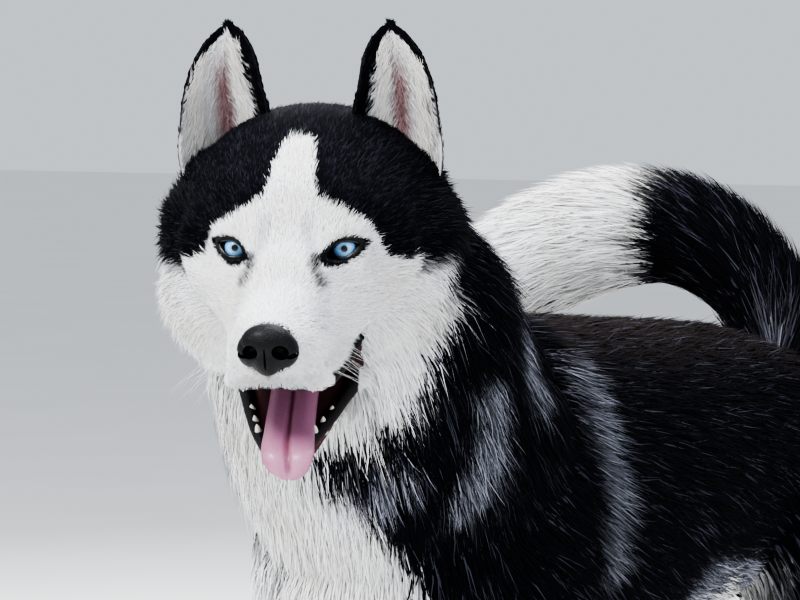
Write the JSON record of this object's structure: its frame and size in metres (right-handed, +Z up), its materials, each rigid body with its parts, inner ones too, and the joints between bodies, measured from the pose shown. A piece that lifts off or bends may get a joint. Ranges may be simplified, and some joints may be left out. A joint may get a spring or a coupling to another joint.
{
  "type": "siberian husky model",
  "caption": "Still, life-size model of a standing Siberian husky with a turned head, open mouth, raised ears and a bushy tail curled over the back.",
  "frame": {"origin": "middle of the model's box, on the floor under the paws", "axes": "+Z up; the dog faces -Y and its left side is +X"},
  "size_m": [0.386, 0.8814, 0.7899],
  "materials": {
    "black_coat": "dense black fur with a soft sheen",
    "white_coat": "dense white fur",
    "grey_coat": "dense grey and black fur",
    "nose_leather": "moist black leather",
    "iris_blue": "wet gloss",
    "tongue_pink": "moist",
    "claw_horn": "satin horn"
  },
  "bodies": {
    "root": {"claw_fore_left_1": "claw_horn", "claw_fore_left_2": "claw_horn", "claw_fore_left_3": "claw_horn", "claw_fore_left_4": "claw_horn", "claw_fore_right_1": "claw_horn", "claw_fore_right_2": "claw_horn", "claw_fore_right_3": "claw_horn", "claw_fore_right_4": "claw_horn", "claw_hind_left_1": "claw_horn", "claw_hind_left_2": "claw_horn", "claw_hind_left_3": "claw_horn", "claw_hind_left_4": "claw_horn", "claw_hind_right_1": "claw_horn", "claw_hind_right_2": "claw_horn", "claw_hind_right_3": "claw_horn", "claw_hind_right_4": "claw_horn", "ear_left": "black_coat", "ear_right": "black_coat", "eye_left": "iris_blue", "eye_right": "iris_blue", "foreleg_left": "white_coat", "foreleg_right": "white_coat", "forepaw_left": "white_coat", "forepaw_right": "white_coat", "head": "white_coat", "hindfoot_left": "white_coat", "hindfoot_right": "white_coat", "hindleg_left": "grey_coat", "hindleg_right": "grey_coat", "lower_jaw": "white_coat", "neck": "black_coat", "nose": "nose_leather", "tail_end": "white_coat", "tail_middle": "grey_coat", "tail_root": "black_coat", "tongue": "tongue_pink", "torso_front": "black_coat", "torso_rear": "black_coat"}
  },
  "joints": []
}
